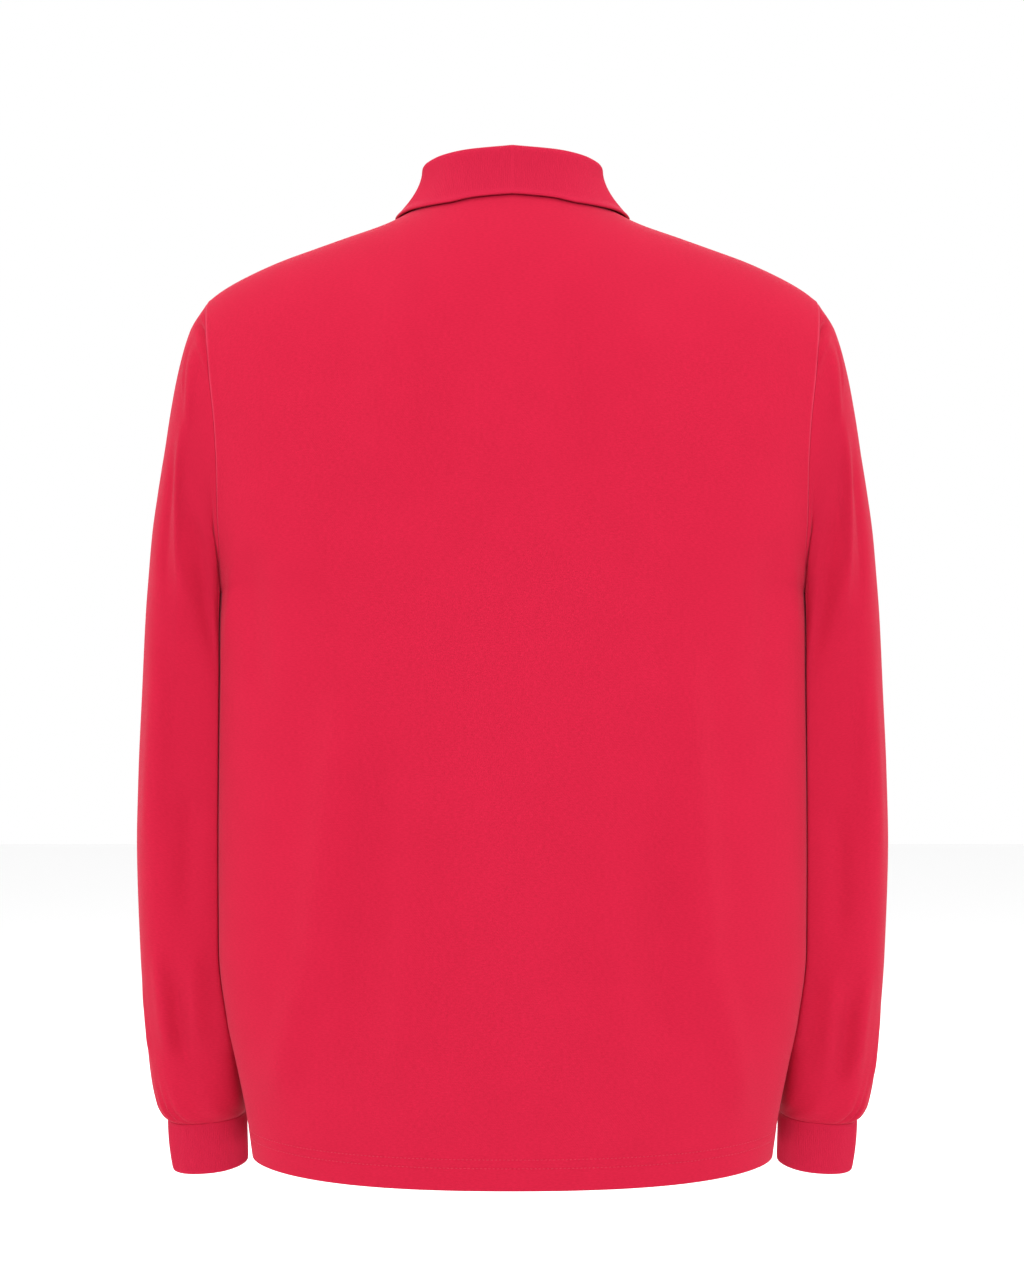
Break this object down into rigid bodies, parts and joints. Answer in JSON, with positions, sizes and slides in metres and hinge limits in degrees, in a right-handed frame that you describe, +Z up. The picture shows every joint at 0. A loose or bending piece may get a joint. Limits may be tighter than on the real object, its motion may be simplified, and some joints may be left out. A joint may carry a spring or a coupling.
{
  "type": "long sleeve polo shirt",
  "caption": "Coral red long sleeve polo shirt in pique knit, filled out as if worn, with a folded rib collar, rib cuffs and a buttoned placket.",
  "frame": {"origin": "middle of the neck base, level with the high points of the two shoulders, where the wearer's shoulders carry the shirt", "axes": "+Z up along the body, -Y the front of the shirt, +X the wearer's left"},
  "size_m": [0.58, 0.2337, 0.7819],
  "materials": {
    "pique": "coral red pique knit, matt with a soft sheen",
    "rib": "coral red fine flat rib knit, matt",
    "button": "dyed to match, satin"
  },
  "bodies": {
    "root": {"back": "pique", "front": "pique", "sleeve_left": "pique", "sleeve_right": "pique", "cuff_left": "rib", "cuff_right": "rib", "collar": "rib", "placket_top": "pique", "placket_under": "pique", "button_1": "button", "button_2": "button", "button_3": "button"}
  },
  "joints": []
}
